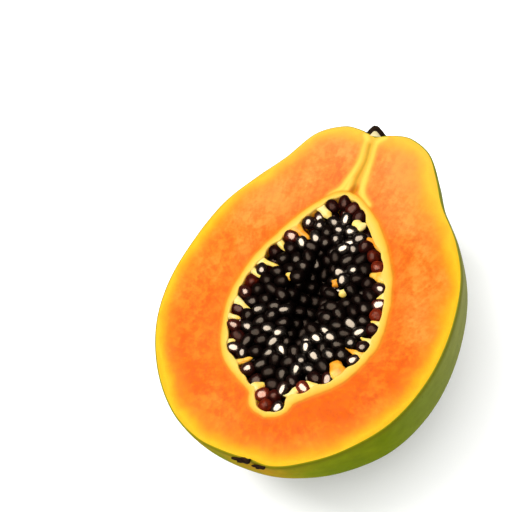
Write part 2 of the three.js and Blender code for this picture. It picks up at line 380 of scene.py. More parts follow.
# %% [markdown]
# Over the orange lie the golden band and the bright line under the skin, a little paleness round the
# neck, the pale strands from the stem with an olive core and a small brown pit, and the lining of
# the hollow, about 2 mm wide, which ends in a thin darker line. Down the wall it is a deeper gold.
# Each is one colour ramp along a distance, so a table holds them and a loop stacks them. Its numbers
# are the distance in millimetres, the colour, and how much of it covers what is below.

# %% Flesh: layers by distance
WANDER_MM = 14  # uneven ripening: the bands wander over this length
EDGE_WANDER = 7.0
LINING_WANDER = 2.0

wander = add("TexNoise", {"Vector": place, "Scale": per_mm(WANDER_MM), "Detail": 3.0})
drift = add("Math", [wander, 0.5], operation="SUBTRACT")
edge_drift = add("Math", [drift, EDGE_WANDER, read["edge_mm"]], operation="MULTIPLY_ADD")
lining_drift = add("Math", [drift, LINING_WANDER, read["lining_mm"]], operation="MULTIPLY_ADD")
FLESH_LAYERS = (
    (edge_drift, [
        (0, "#E6B414", 1), (1.82, "#F5BC1A", 1), (4.16, "#F4A812", 0.85), (7.02, "#F79A1C", 0.4),
        (13, "#F89028", 0),
    ]),
    (read["stem_mm"], [(5, "#FFE6B4", 0.08), (55, "#FFE6B4", 0)]),
    (read["strand_mm"], [
        (0, "#FAD258", 1), (1.04, "#FACA4C", 0.9), (1.84, "#F4B444", 0.55), (3.2, "#FAA838", 0),
    ]),
    (read["core_mm"], [
        (0, "#BC9420", 0.85), (0.84, "#DCA630", 0.75), (1.68, "#F4B03C", 0.6), (2.8, "#F4B03C", 0),
    ]),
    (read["pit_mm"], [(0.8, "#B86A10", 0.9), (2.6, "#B86A10", 0)]),
    (lining_drift, [
        (0, "#F7CC60", 1), (1.176, "#F6C44C", 1), (2.016, "#F1B438", 1), (2.604, "#D48C1A", 0.75),
        (3.528, "#EC8816", 0),
    ]),
    (read["below_mm"], [(0.6, "#FFAA20", 0), (3, "#FFAA20", 0.85)]),
)
for distance, mm_stops in FLESH_LAYERS:
    reach = mm_stops[-1][0]
    ramp_place = add("MapRange", [distance, 0.0, reach])
    layer = add("ValToRGB", [ramp_place], stops=[(mm / reach, *look) for mm, *look in mm_stops])
    cover, colour = layer.outputs["Alpha"], layer.outputs["Color"]
    flesh_colour = add("Mix", {"Factor": cover, 6: flesh_colour, 7: colour}, data_type="RGBA")
print("layers over the orange:", len(FLESH_LAYERS))

# %% [markdown]
# The juice on the cut is thin, so the flesh is half glossy, with fine unevenness from the cells, and
# mirrors little. Red light travels furthest through it.

# %% Flesh: surface
TEXTURE_MM = 1.1  # coarser than the real cells, so that it shows
texture = add("TexNoise", {"Vector": place, "Scale": per_mm(TEXTURE_MM), "Detail": 3.0})
flesh_bump = add("Bump", {"Strength": 0.4, "Distance": 0.14 * MM, "Height": texture})
finish_material(add, {
    "Base Color": flesh_colour,
    "Roughness": add("MapRange", [cells, 0.35, 0.65, 0.4, 0.56]),
    "IOR": 1.38,
    "Specular IOR Level": 0.1,
    "Subsurface Weight": 0.35,
    "Subsurface Radius": (1.0, 0.42, 0.15),
    "Subsurface Scale": 3.0 * MM,
    "Normal": flesh_bump,
})

# %% [markdown]
# ## Skin
# The skin is thin, leathery and coated with natural wax, so it has a soft sheen with a blurred
# highlight. A ripening papaya turns from green to yellow and orange in patches, drawn out a little
# along the fruit. One number, the ripeness, could be painted by hand. Here it is a large soft noise
# plus a slope from side to side: the side below the right cut edge is the greenest, the far side
# and the blossom end are the ripest.

# %% Skin: ripeness
DRAWN_OUT = (0.45, 1.0, 1.0)
SKIN_PATCH_MM = 42

skin_material, add = new_material("papaya_skin_waxy")
place = add("TexCoord").outputs["Object"]
apart = add("SeparateXYZ", [place])
drawn_out = add("VectorMath", [place, DRAWN_OUT], operation="MULTIPLY")
skin_patches = add("TexNoise", {
    "Vector": drawn_out, "Scale": per_mm(SKIN_PATCH_MM), "Detail": 4.0, "Roughness": 0.55,
    "Distortion": 0.4,
})
ripe_side = add("MapRange", [apart.outputs["Y"], -60 * MM, 60 * MM, -0.22, 0.10])
ripe_tip = add("MapRange", [apart.outputs["X"], -80 * MM, -58 * MM, 0.09, 0.0])
ripe_sum = add("Math", [ripe_side, ripe_tip], operation="ADD")
ripeness = add("Math", [ripe_sum, skin_patches], operation="ADD")
ripe_colour = add("ValToRGB", [ripeness], stops=[
    (0.28, "#84960A"), (0.42, "#96A20C"), (0.52, "#AAA412"), (0.62, "#CCAC16"), (0.70, "#E2A41A"),
    (0.80, "#E4901C"),
])
print("nodes so far:", len(ripe_colour.id_data.nodes))

# %% [markdown]
# A pale grey wash on the side below the right cut edge is a painted reflection of the bright
# surround. Fine shading and dark freckles, half a millimetre to a millimetre across, break the colour
# up. Near the cut it darkens to olive, and towards the underside, where the skin turns away from the
# light, its colour is darkened as painted shade.

# %% Skin: painted reflection, freckles and painted shade
MOTTLE_MM = 4.5
FRECKLE_MM = 3.2  # between two freckles

# Painted reflection: the skin is washed pale grey on the right side, as if it mirrored the surround.
reflection_end = add("MapRange", [apart.outputs["X"], -55 * MM, 20 * MM, 0.0, 1.0])
reflection_side = add("MapRange", [apart.outputs["Y"], -52 * MM, -20 * MM, 0.75, 0.0])
painted_reflection = add("Math", [reflection_end, reflection_side], operation="MULTIPLY")
reflected_skin = add("Mix", {"Factor": painted_reflection, 6: ripe_colour, 7: "#B2B078"}, data_type="RGBA")
fine = add("TexNoise", {
    "Vector": drawn_out, "Scale": per_mm(MOTTLE_MM), "Detail": 5.0, "Roughness": 0.65,
})
fine_shade = add("MapRange", [fine, 0.3, 0.7, 0.86, 1.1])
shaded = add("VectorMath", {0: reflected_skin, "Scale": fine_shade}, operation="SCALE")
freckles = add("TexVoronoi", {"Vector": place, "Scale": per_mm(FRECKLE_MM), "Randomness": 1.0})
freckle_share = add("MapRange", [freckles, 0.08, 0.2, 0.45, 0.0])
freckle_mask = add("MapRange", [fine, 0.45, 0.6, 0.0, 1.0])
freckle_amount = add("Math", [freckle_share, freckle_mask], operation="MULTIPLY")
freckled = add("Mix", {"Factor": freckle_amount, 6: shaded, 7: "#4A4E12"}, data_type="RGBA")
below_edge = add("Attribute", attribute_name="below_mm").outputs["Fac"]
rim = add("MapRange", [below_edge, 0.5, 3.4, 0.8, 0.0])
rimmed = add("Mix", {"Factor": rim, 6: freckled, 7: "#80800A"}, data_type="RGBA")
# Painted shade: the skin colour is darkened to 0.6 towards the underside, where it turns away from the
# light.
under = add("MapRange", [below_edge, 24.0, 42.0, 1.0, 0.6])
skin_colour = add("VectorMath", {0: rimmed, "Scale": under}, operation="SCALE")
skin_bump = add("Bump", {"Strength": 0.3, "Distance": 0.15 * MM, "Height": fine})
finish_material(add, {
    "Base Color": skin_colour,
    "Roughness": 0.6,
    "IOR": 1.42,
    "Specular IOR Level": 0.0,
    "Coat Weight": 0.08,
    "Coat Roughness": 0.3,
    "Subsurface Weight": 0.08,
    "Subsurface Radius": (1.0, 0.7, 0.2),
    "Subsurface Scale": 1.5 * MM,
    "Normal": skin_bump,
})

# %% [markdown]
# ## The skin as a grid
# Skin, cut face, lining and the wall of the hollow grew as one piece, so they are one closed mesh,
# made of three grids. The knife leaves a crisp edge, but a real one still rounds over about half a
# millimetre and catches the light there. A bevel would need the edge picked out first. Here the
# outermost rows are drawn in along a quarter circle instead. The same function rolls the lip of the
# hollow outward later, and adds its waves.

# %% Skin rows, with a rounded cut edge
STATIONS = 201
EDGE_ROUND = 0.6
EDGE_STEPS = [0.0, 0.06, 0.18, 0.36, 0.6, 1.2]  # millimetres below the cut
SKIN_COLUMNS = 96
WAVE_FADE = 3.5
stations = np.linspace(0, 1, STATIONS)
skin_edge = cut_edge(SKIN, stations)


def round_over(points, edge, radius, way, waves):
    """Bends the rows under both cut edges along a quarter circle, in with way 1 and out with -1.

    Waves move them inward too, less and less down the side.
    """
    depth = -points[..., 2]
    bent = radius - np.sqrt(np.maximum(radius**2 - np.clip(radius - depth, 0, radius) ** 2, 0))
    fade = np.exp(-depth / WAVE_FADE)
    normals, waves = closed_line(inward(edge)), closed_line(waves)
    count, half = points.shape[0], points.shape[1] // 2
    moved = points.copy()
    for columns, side in (
        (slice(0, half), slice(0, count)),
        (slice(half, None), slice(None, count - 2, -1)),
    ):
        push = waves[side, None] * fade[:, columns] + way * bent[:, columns]
        moved[:, columns, :2] += push[..., None] * normals[side, None]
    return moved


skin_angles = near_edge_angles(SKIN, stations, EDGE_STEPS, SKIN_COLUMNS)
skin_points = half_round(SKIN, stations, skin_angles)
skin_points[..., 2] = np.maximum(skin_points[..., 2], -SHIFT[2])
skin_points = round_over(skin_points, skin_edge, EDGE_ROUND, 1, np.zeros(len(skin_edge)))
print("skin rows and columns:", skin_points.shape[:2])

# %% [markdown]
# ## Pulp tags
# Between the outermost seeds, wedges of yellow pulp reach in from the lining: they are what held
# the seeds. They are wide at the wall, taper inward and lie level with the cut, because the knife
# went through them too. Chance could place them, but the larger ones are listed one by one.
# A blunt one is a rounded lump.

# %% Where the pulp tags grow
PULP_TAGS = [  # root and tip on the cut face, half-width, share of orange, bluntness
    ((-8.6, 37.6), (-14.2, 25.2), 2.3, 0.0, 0.0), ((-19.4, 36.4), (-18.6, 28.6), 2.0, 0.0, 0.0),
    ((-30.2, 33.8), (-28.4, 27.0), 2.2, 0.0, 0.0), ((-40.2, 27.6), (-34.0, 16.6), 2.3, 0.4, 0.0),
    ((-49.0, 12.8), (-44.4, 7.2), 2.3, 0.05, 0.6), ((-48.2, -5.4), (-40.6, -6.4), 2.0, 0.0, 0.0),
    ((-42.2, -18.8), (-39.6, -8.4), 2.3, 0.05, 0.2), ((-35.6, -22.6), (-28.4, -17.2), 3.3, 0.5, 1.0),
    ((-24.2, -30.4), (-21.8, -19.8), 1.6, 0.45, 0.0), ((-17.6, -32.0), (-16.0, -24.4), 1.8, 0.1, 0.0),
    ((-8.2, -33.4), (-8.2, -26.2), 2.0, 0.0, 0.0), ((6.0, -32.2), (1.6, -25.0), 2.5, 0.0, 0.0),
    ((11.0, -29.2), (12.4, -18.6), 2.9, 0.35, 0.3), ((24.6, -22.4), (28.6, -11.4), 2.4, 0.5, 0.2),
    ((32.6, -10.0), (35.4, -3.6), 2.2, 0.0, 0.8), ((39.6, 13.4), (35.0, 6.6), 2.1, 0.0, 0.7),
    ((30.2, 23.6), (23.4, 12.4), 2.9, 0.5, 0.2), ((9.4, 31.6), (7.8, 19.6), 1.6, 0.1, 0.0),
    ((4.6, 34.2), (1.2, 26.4), 2.0, 0.0, 0.0), ((21.4, 29.0), (15.8, 20.8), 2.3, 0.0, 0.1),
    ((6.8, -5.4), (3.6, -7.2), 1.6, 0.6, 1.0), ((2.8, -10.0), (-0.2, -11.8), 1.6, 0.1, 1.0),
    ((6.0, 15.4), (2.4, 14.2), 1.3, 0.3, 1.0),
]


def tag_width(half_width, blunt, part):
    """Half the width of a tag at a share of its length: a flared wedge or a rounded lump."""
    wedge = (0.3 + 0.7 * (1 - part) + 0.75 * np.exp(-6 * part)) * np.sqrt(1 - part**8)
    lump = np.sqrt(np.clip(1 - (2 * part - 1) ** 4, 0, 1))
    return half_width * ((1 - blunt) * wedge + blunt * lump)


print("pulp tags:", len(PULP_TAGS))

# %% [markdown]
# ## Room for the seeds
# Each seed has to know how far it is from the wall. Asking the mesh for every seed and step would be
# slow, so the half-round formula fills a table of the hollow's reach once, by place along the fruit
# and by angle, and the distance is read from that.

# %% Gap to the wall of the hollow
TABLE_ANGLES = np.linspace(0, np.pi, 33)
TABLE_X = np.linspace(HOLLOW_RIGHT[-1][0], HOLLOW_RIGHT[0][0], 240)
TINY = 1e-6
LAST_STEP = 1.001  # keeps a reading inside the table
table_points = half_round(HOLLOW, fine_stations, np.tile(TABLE_ANGLES, (len(fine_stations), 1)))
table_reach = np.hypot(table_points[..., 1] - HOLLOW_Y, table_points[..., 2] / HOLLOW["depth"])
REACH = np.array([
    np.interp(TABLE_X, table_points[::-1, k, 0], table_reach[::-1, k]) for k in range(len(TABLE_ANGLES))
])


def wall_gap(places):
    """How far inside the wall each place is, and the direction that leads away from the wall."""
    across, down = places[:, 1] - HOLLOW_Y, -places[:, 2] / HOLLOW["depth"]
    reach = np.maximum(np.hypot(across, down), TINY)
    row = np.clip(np.arctan2(np.maximum(down, 0), -across) / TABLE_ANGLES[1], 0, len(REACH) - LAST_STEP)
    x_step = TABLE_X[1] - TABLE_X[0]
    column = np.clip((places[:, 0] - TABLE_X[0]) / x_step, 0, len(TABLE_X) - LAST_STEP)
    i, j = row.astype(int), column.astype(int)
    a, b = row - i, column - j
    near = REACH[i, j] * (1 - a) + REACH[i + 1, j] * a
    far = REACH[i, j + 1] * (1 - a) + REACH[i + 1, j + 1] * a
    slope = (far - near) / x_step
    steep = np.sqrt(1 + slope**2)
    away = np.stack([slope, -across / reach, down / reach], 1) / steep[:, None]
    return (near * (1 - b) + far * b - reach) / steep, away


print("hollow is", round(float(REACH.max()), 1), "mm across at its widest half")

# %% [markdown]
# ## Packing the seeds
# Seeds fill the hollow in four layers, shoulder to shoulder. A rigid-body simulation could drop them
# in, but it is slow and hard to steer. Here they start on a loose lattice, each a little off its
# place, and are then pushed apart step by step until they touch without overlapping. The wall, the
# pulp tags and the dark cleft down the middle push back. This gives the uneven, crowded look of a
# real heap, which a regular pattern never has. Two seeds are held in the narrow nose of the hollow.

# %% Where the seeds start
PITCH = 5.9  # middle to middle of two seeds that touch
ROW_SHARE = 0.866  # rows of a lattice of triangles, against the pitch
LAYERS = (-1.9, -6.4, -11.0, -15.4)
LAYER_SLIDE = 1.6
LOOSE = 0.7
WALL_GAP = 2.3
START_GAP = 0.8
CLEFT_MIDDLE = np.array([-3.0, 3.5, 0.0])
CLEFT_SIZE = np.array([27.0, 8.5, 14.5])
CLEFT_CORE = 0.7
NOSE_SEEDS = [(-53.2, -1.4, -2.2), (-53.5, 4.1, -2.2)]
HIGHEST = -1.7
SUNK = 1.5
DEEPEST = -19.0

draw = np.random.default_rng(7)
start_places = []
for number, level in enumerate(LAYERS):
    for line, y in enumerate(np.arange(-34, 36, PITCH * ROW_SHARE)):
        offset = PITCH * (0.5 * ((line + number) % 2) + 0.25 * number)
        for x in np.arange(-56, 50, PITCH):
            start_places.append((x + offset, y + number * LAYER_SLIDE, level))
seed_places = np.array(start_places) + draw.normal(0, LOOSE, (len(start_places), 3))
gap, away = wall_gap(seed_places)
in_cleft = (((seed_places - CLEFT_MIDDLE) / CLEFT_SIZE) ** 2).sum(1) < CLEFT_CORE
seed_places = np.vstack([NOSE_SEEDS, seed_places[(gap > START_GAP) & ~in_cleft]])
top_limit = HIGHEST - SUNK * draw.random(len(seed_places)) ** 2
print("seeds to start with:", len(seed_places))

# %% [markdown]
# Each step moves every seed away from whatever it presses on: its neighbours, a tag, the wall or the
# cleft. Seeds that still have no room in the end are left out, the lower ones first.

# %% Push the seeds apart
STEPS = 60
SELF_DISTANCE = 99
SEED_PUSH = 0.3
TAG_PUSH = 0.5
TAG_LEVEL = 1.5
TOO_CLOSE = 0.78 * PITCH

steps = np.linspace(0, 0.95, 6)
tag_line = np.concatenate([
    np.array(root) + np.outer(steps, np.subtract(tip, root)) for root, tip, *_ in PULP_TAGS
])
tag_reach = WALL_GAP + np.concatenate([
    tag_width(half_width, blunt, steps) for *_, half_width, orange, blunt in PULP_TAGS
])
for step in range(STEPS):
    apart = seed_places[:, None] - seed_places
    distance = np.sqrt((apart**2).sum(2)) + np.eye(len(seed_places)) * SELF_DISTANCE
    push = np.clip(PITCH - distance, 0, None)
    move = (apart / distance[..., None] * push[..., None]).sum(1) * SEED_PUSH
    from_tag = seed_places[:, None, :2] - tag_line
    tag_distance = np.sqrt((from_tag**2).sum(2) + (seed_places[:, None, 2] + TAG_LEVEL) ** 2)
    tag_push = np.clip(tag_reach - tag_distance, 0, None)
    move[:, :2] += (from_tag / tag_distance[..., None] * tag_push[..., None]).sum(1) * TAG_PUSH
    seed_places = seed_places + move
    gap, away = wall_gap(seed_places)
    seed_places += away * np.clip(WALL_GAP - gap, 0, None)[:, None]
    from_cleft = (seed_places - CLEFT_MIDDLE) / CLEFT_SIZE
    inside = np.sqrt((from_cleft**2).sum(1))
    seed_places += (from_cleft * CLEFT_SIZE) * np.clip(1 / np.maximum(inside, 0.3) - 1, 0, 0.5)[:, None]
    seed_places[:, 2] = np.minimum(seed_places[:, 2], top_limit)
    seed_places[:, 2] = np.maximum(seed_places[:, 2], DEEPEST)
    seed_places[:len(NOSE_SEEDS)] = NOSE_SEEDS

kept = list(range(len(NOSE_SEEDS)))
for index in np.argsort(-seed_places[:, 2]):
    if np.linalg.norm(seed_places[kept] - seed_places[index], axis=1).min() > TOO_CLOSE:
        kept.append(index)
seed_places = seed_places[kept]
rim_mm = wall_gap(seed_places)[0]
print("seeds:", len(seed_places))

# %% [markdown]
# ## The wall of the hollow
# The seeds press into the lining while the fruit grows, so its edge wraps round them: it stands
# back beside each outer seed and reaches in between two of them. The waves are worked out from the
# seeds themselves, so the two always fit, and they fade out down the wall.

# %% Wall rows, scalloped at the top
LIP_ROUND = 0.9
LIP_STEPS = [0.0, 0.09, 0.27, 0.54, 0.9, 1.6, 2.6]
WALL_COLUMNS = 60
TOP_LAYER = -5.5
SEED_REACH = 2.9
LINING_REACH = 1.9
LINING_BACK = -0.3
SCALLOP_SHARE = 0.75
NARROW_SHARE = 0.25  # near the two tips the waves stay within this share of the half-width

hollow_edge = cut_edge(HOLLOW, stations)
near_top = seed_places[seed_places[:, 2] > TOP_LAYER]
lumps = [np.add(root, tip) / 2 for root, tip, half_width, orange, blunt in PULP_TAGS if blunt == 1]
packed = np.vstack([near_top[:, :2], lumps])
to_seed = np.linalg.norm(hollow_edge[:, None] - packed, axis=2).min(1) - SEED_REACH
scallop = np.clip(SCALLOP_SHARE * to_seed, LINING_BACK, LINING_REACH)
half_widths = [spline(HOLLOW[side], stations)[:, 1] for side in ("right", "left")]
scallop = np.minimum(scallop, NARROW_SHARE * np.concatenate([half_widths[0], half_widths[1][-2:0:-1]]))
for _ in range(3):
    scallop = (np.roll(scallop, 1) + 2 * scallop + np.roll(scallop, -1)) / 4

wall_angles = near_edge_angles(HOLLOW, stations, LIP_STEPS, WALL_COLUMNS)
wall_points = half_round(HOLLOW, stations, wall_angles)
wall_points = round_over(wall_points, hollow_edge, LIP_ROUND, -1, scallop)
print("wall rows and columns:", wall_points.shape[:2])

# %% [markdown]
# ## The cut face
# One fill command would close the ring between hollow and skin, but its long thin faces can't carry
# fine relief. Here rows run from the lip of the hollow to the rounded skin edge, and both edges are
# walked at the same pace from stem to blossom end, so the rows never cross. Two pale strands run from
# the stem to the hollow, with a thin olive core between them that ends in a small pit.

# %% Cut face rows and its lines
FACE_ROWS = 64
STRANDS = (
    [(77.4, 4.6), (74.6, 2.9), (70.9, 2.7), (64.8, 2.4), (59.9, 3.1), (54.4, 4.5), (49, 6.4), (45, 9.8)],
    [
        (77.4, -4.6), (75, -2), (71.9, -1.2), (62.7, -1.9), (54.5, -2.5), (49.9, -3), (46.5, -4.8),
        (43.4, -8),
    ],
    [(54.5, 3.4), (50, 3.9), (47.6, 4.4)],
)
STRAND_CORE = [(73, 1.0), (70.5, 0.8), (65.2, 0.2), (60.4, 0.5), (55, 1.1), (50.5, 0.9)]
PIT = (49.2, 0.6)
PIT_AXES = [(0.96, -0.28), (0.28, 0.96)]  # along the strand and across it
PIT_STRETCH = (1.7, 1.0)

outer_ring = np.vstack([skin_points[:, 0, :2], skin_points[-2:0:-1, -1, :2]])
inner_ring = np.vstack([wall_points[:, 0, :2], wall_points[-2:0:-1, -1, :2]])
share = np.linspace(0, 1, FACE_ROWS)
share = (share + (1 - np.cos(np.pi * share)) / 2) / 2
face = inner_ring + (outer_ring - inner_ring) * share[:, None, None]
face_points = np.dstack([face, np.zeros(face.shape[:2])]).reshape(-1, 3)
print("cut face rows and columns:", face.shape[:2])

# %% [markdown]
# The readings for the flesh material are measured here. The band under the skin is a little narrower
# on the left and wider on the right of the neck, and the lining is wider away from the stem, so both
# distances are stretched there.

# %% Readings on the cut face
BAND_WIDTH = 1.04
LEFT_BAND_LOSS = 0.12
NECK_BAND_GAIN = 0.35
LINING_GAIN = 0.2
RIGHT_LINING_GAIN = 0.2


def smooth_step(values, low, high):
    """Rises softly from 0 at low to 1 at high."""
    part = np.clip((values - low) / (high - low), 0, 1)
    return part * part * (3 - 2 * part)


x, y = face_points[:, 0], face_points[:, 1]
band_width = BAND_WIDTH - LEFT_BAND_LOSS * smooth_step(y, 5, 40) * smooth_step(x, -60, -30)
band_width += NECK_BAND_GAIN * smooth_step(x, 22, 55) * smooth_step(-y, 0, 20)
lining_gain = LINING_GAIN + RIGHT_LINING_GAIN * smooth_step(-y, 4, 18)
lining_width = 1 + lining_gain * smooth_step(-x, -46, -30)
to_hollow = distance_to(face_points, closed_line(hollow_edge))
readings = {
    "edge_mm": distance_to(face_points, closed_line(skin_edge)) / band_width,
    "hollow_mm": to_hollow,
    "lining_mm": to_hollow / lining_width,
    "strand_mm": np.min([
        distance_to(face_points, spline(strand, np.linspace(0, 1, 40))) for strand in STRANDS
    ], axis=0),
    "core_mm": distance_to(face_points, spline(STRAND_CORE, np.linspace(0, 1, 30))),
    "pit_mm": np.linalg.norm((face_points[:, :2] - PIT) @ np.array(PIT_AXES).T / PIT_STRETCH, axis=1),
}
for label, values in readings.items():
    print(label, "reaches", round(float(values.max()), 1))

# %% [markdown]
# A knife cut in soft flesh is never quite flat: the face dips and rises by a tenth of a millimetre or
# two, sinks a little beside the lining, and the core lies in a shallow groove that ends in the pit.

# %% Relief of the cut face
PIT_RADIUS = 1.3
PIT_DEPTH = 1.4
GROOVE_DEPTH = 0.35
GROOVE_WIDTH = 0.8
DIP_DEPTH = 0.22
DIP_PLACE = 5.5
DIP_WIDTH = 1.8

ripple = 0.10 * np.sin(x / 7.3 + 1.1) * np.sin(y / 9.1 + 0.4) + 0.05 * np.sin(x / 2.9 + y / 3.7)
lip_mm = distance_to(face_points, closed_line(inner_ring))
free = smooth_step(readings["edge_mm"], 0.6, 4.0) * smooth_step(lip_mm, 0.0, 2.5)
dip = DIP_DEPTH * np.exp(-((readings["hollow_mm"] - DIP_PLACE) / DIP_WIDTH) ** 2)
groove = GROOVE_DEPTH * np.exp(-(readings["core_mm"] / GROOVE_WIDTH) ** 2)
pit = PIT_DEPTH * np.exp(-(readings["pit_mm"] / PIT_RADIUS) ** 2)
face_points[:, 2] = free * (ripple - dip - groove - pit)
print("the cut face sinks by up to", round(float(-face_points[:, 2].min()), 2), "mm")

# %% [markdown]
# ## One closed fruit
# The three grids are joined in one list of points. Their shared edges are welded, and the faces
# are told apart only by material: skin outside, flesh on the cut and down the wall. Cutting a whole
# fruit with a boolean would work too, but it leaves uneven faces along the cut.

# %% Fruit object
FAR_MM = 40.0
skin_flat, wall_flat = skin_points.reshape(-1, 3), wall_points.reshape(-1, 3)
fruit_points = np.vstack([skin_flat, face_points, wall_flat])
skin_faces = grid_faces(*skin_points.shape[:2])
face_faces = grid_faces(*face.shape[:2], start=len(skin_flat), closed=True)
wall_faces = grid_faces(*wall_points.shape[:2], start=len(skin_flat) + len(face_points))


def everywhere(skin_value, face_values, wall_value):
    """One reading for all three grids, in their order."""
    return np.concatenate([
        np.full(len(skin_flat), skin_value), face_values, np.full(len(wall_flat), wall_value),
    ])


middle_row = face[FACE_ROWS // 2]
around = np.concatenate([[0], np.cumsum(np.linalg.norm(np.diff(middle_row, axis=0), axis=1))])
on_skin_and_wall = {"edge_mm": (0.0, FAR_MM), "hollow_mm": (FAR_MM, 0.0), "lining_mm": (FAR_MM, 0.0)}
fruit_readings = {}
for label, values in readings.items():
    on_skin, on_wall = on_skin_and_wall.get(label, (FAR_MM, FAR_MM))
    fruit_readings[label] = everywhere(on_skin, values, on_wall)
fruit_readings["stem_mm"] = SKIN_RIGHT[0][0] - fruit_points[:, 0]
fruit_readings["around_mm"] = everywhere(0.0, np.tile(around, FACE_ROWS), 0.0)
fruit_readings["below_mm"] = -fruit_points[:, 2]
fruit = make_piece(
    "papaya_fruit", fruit_points, np.vstack([skin_faces, face_faces, wall_faces]),
    [skin_material, flesh_material],
    slots=[0] * len(skin_faces) + [1] * (len(face_faces) + len(wall_faces)),
    readings=fruit_readings,
)
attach(fruit, "root")
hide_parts("fruit_half")

# %% [markdown]
# ## Shaping the pulp tags
# Each tag is a tapered tube along a slightly bent line from its root to its tip, cut off flat at the
# height of the knife. A curve object with a bevel could do it, but not the flat top.

# %% Tag shapes
TAG_RINGS = 16
TAG_SIDES = 14
TAG_BEND = 0.9
TAG_WAVE = 0.14
TAG_DROP = 0.9
TAG_TOP = -0.06

draw = np.random.default_rng(11)
tag_points, tag_faces, tag_orange = [], [], []
part = np.linspace(0, 1, TAG_RINGS)
turn = np.linspace(0, 2 * np.pi, TAG_SIDES, endpoint=False)
for root, tip, half_width, orange, blunt in PULP_TAGS:
    root, tip = np.array(root), np.array(tip)
    ahead = (tip - root) / np.linalg.norm(tip - root)
    beside = np.array([-ahead[1], ahead[0]])
    bend = draw.uniform(-TAG_BEND, TAG_BEND) * (1 - blunt)
    middle_line = root + (tip - root) * part[:, None] + beside * (bend * np.sin(np.pi * part))[:, None]
    width = tag_width(half_width, blunt, part) * (1 + TAG_WAVE * np.sin(9 * part + draw.uniform(0, 6)))
    across = middle_line[:, None] + beside * (width[:, None, None] * np.cos(turn)[None, :, None])
    height = -0.4 * half_width - TAG_DROP * part[:, None] + 0.6 * width[:, None] * np.sin(turn)
    height = np.minimum(height, TAG_TOP - 0.35 * part[:, None] ** 2 - 0.9 * np.exp(-8 * part[:, None]))
    tag_faces += capped_faces(TAG_RINGS, TAG_SIDES, len(tag_points) * TAG_RINGS * TAG_SIDES)
    tag_points.append(np.dstack([across, height]).reshape(-1, 3))
    tag_orange.append(np.clip(orange + 0.35 * np.repeat(part, TAG_SIDES) - 0.1, 0, 1))
print("points on the tags:", sum(len(block) for block in tag_points))

# %% [markdown]
# ## Pulp
# The tags are the same wet tissue as the lining: pale yellow at the root, more orange and clearer
# towards the tip, with light passing through the thin parts. One flat yellow would look like
# plastic, so a reading on the mesh says how orange each ring of a tag is.

# %% Pulp material and object
CLOUD_MM = 3.0
pulp_material, add = new_material("papaya_pulp_wet")
orange_share = add("Attribute", attribute_name="orange_share").outputs["Fac"]
place = add("TexCoord").outputs["Object"]
cloud = add("TexNoise", {"Vector": place, "Scale": per_mm(CLOUD_MM), "Detail": 2.0})
cloud_drift = add("MapRange", [cloud, 0.3, 0.7, -0.15, 0.15])
pulp_tone = add("Math", [orange_share, cloud_drift], operation="ADD")
pulp_colour = add("ValToRGB", [pulp_tone], stops=[
    (0.0, "#FBE08C"), (0.3, "#FBD25C"), (0.6, "#F7A324"), (1.0, "#D8701C"),
])
finish_material(add, {
    "Base Color": pulp_colour,
    "Roughness": 0.35,
    "IOR": 1.38,
    "Specular IOR Level": 0.25,
    "Subsurface Weight": 0.4,
    "Subsurface Radius": (1.0, 0.6, 0.2),
    "Subsurface Scale": 1.5 * MM,
    "Coat Weight": 0.15,
    "Coat Roughness": 0.15,
})
tags = make_piece(
    "papaya_pulp_tags", np.vstack(tag_points), tag_faces, [pulp_material],
    readings={"orange_share": np.concatenate(tag_orange)},
)
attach(tags, "root")

# %% [markdown]
# ## Seeds
# A papaya seed is black and sits in a clear jacket of juice, so it has broad soft highlights. A clear
# shell round each seed could be the jacket, but it would double the mesh. So the seed is the base of
# the shader and the jacket is its coat. Some seeds have dried, which a reading called gloss says, and
# the same reading takes the gloss from the seeds deep in the hollow as painted shade. The ones near
# the lining are less ripe and show maroon.

# %% Seed material
JACKET = (0.004, 0.9)  # coat on a dry seed and on a wet one
WRINKLE_MM = 1.6
seed_material, add = new_material("papaya_seed_wet_jacket")
unripe = add("Attribute", attribute_name="unripe").outputs["Fac"]
gloss = add("Attribute", attribute_name="gloss").outputs["Fac"]
place = add("TexCoord").outputs["Object"]
wrinkles = add("TexNoise", {"Vector": place, "Scale": per_mm(WRINKLE_MM), "Detail": 3.0})
seed_drift = add("MapRange", [wrinkles, 0.3, 0.7, -0.12, 0.12])
seed_tone = add("Math", [unripe, seed_drift], operation="ADD")
seed_colour = add("ValToRGB", [seed_tone], stops=[
    (0.0, "#080504"), (0.35, "#160706"), (0.7, "#3A0E08"), (1.0, "#7C260E"),
])
seed_bump = add("Bump", {"Strength": 0.35, "Distance": 0.15 * MM, "Height": wrinkles})
finish_material(add, {
    "Base Color": seed_colour,
    "Roughness": 0.3,
    "IOR": 1.42,
    "Specular IOR Level": 0.01,
    "Coat Weight": add("MapRange", [gloss, 0.0, 1.0, *JACKET]),
    "Coat Roughness": 0.21,
    "Coat IOR": 1.4,
    "Normal": seed_bump,
    "Coat Normal": seed_bump,
})

# %% [markdown]
# The seed itself is a slightly pointed oval with sides flattened by its neighbours. An ellipsoid
# would be too plain, so the power in its formula is a little over 2. Each seed is a turned, tilted
# and slightly resized copy, with its long axis roughly towards the wall that it grew from.

# %% One seed, and a copy at each place
SEED_SIZE = (3.35, 2.75, 2.6)  # half length, half width and half height
SEED_ROWS = 13
SEED_SIDES = 18
SQUARENESS = 2.35  # 2 is a plain ellipsoid; more gives the flatter sides of crowded seeds
TAPER = 0.14
HEADING_SPREAD = 0.45
TILT_SPREAD = 0.35
SIZE_SPREAD = 0.045
UNRIPE_RIM = (3.0, 7.5)  # millimetres from the wall where seeds are the least and the most ripe
WET_SHARE = 0.36
WET_SHINE = 0.24
SHINE_RANGE = 0.6
DRY_SHINE = 0.08
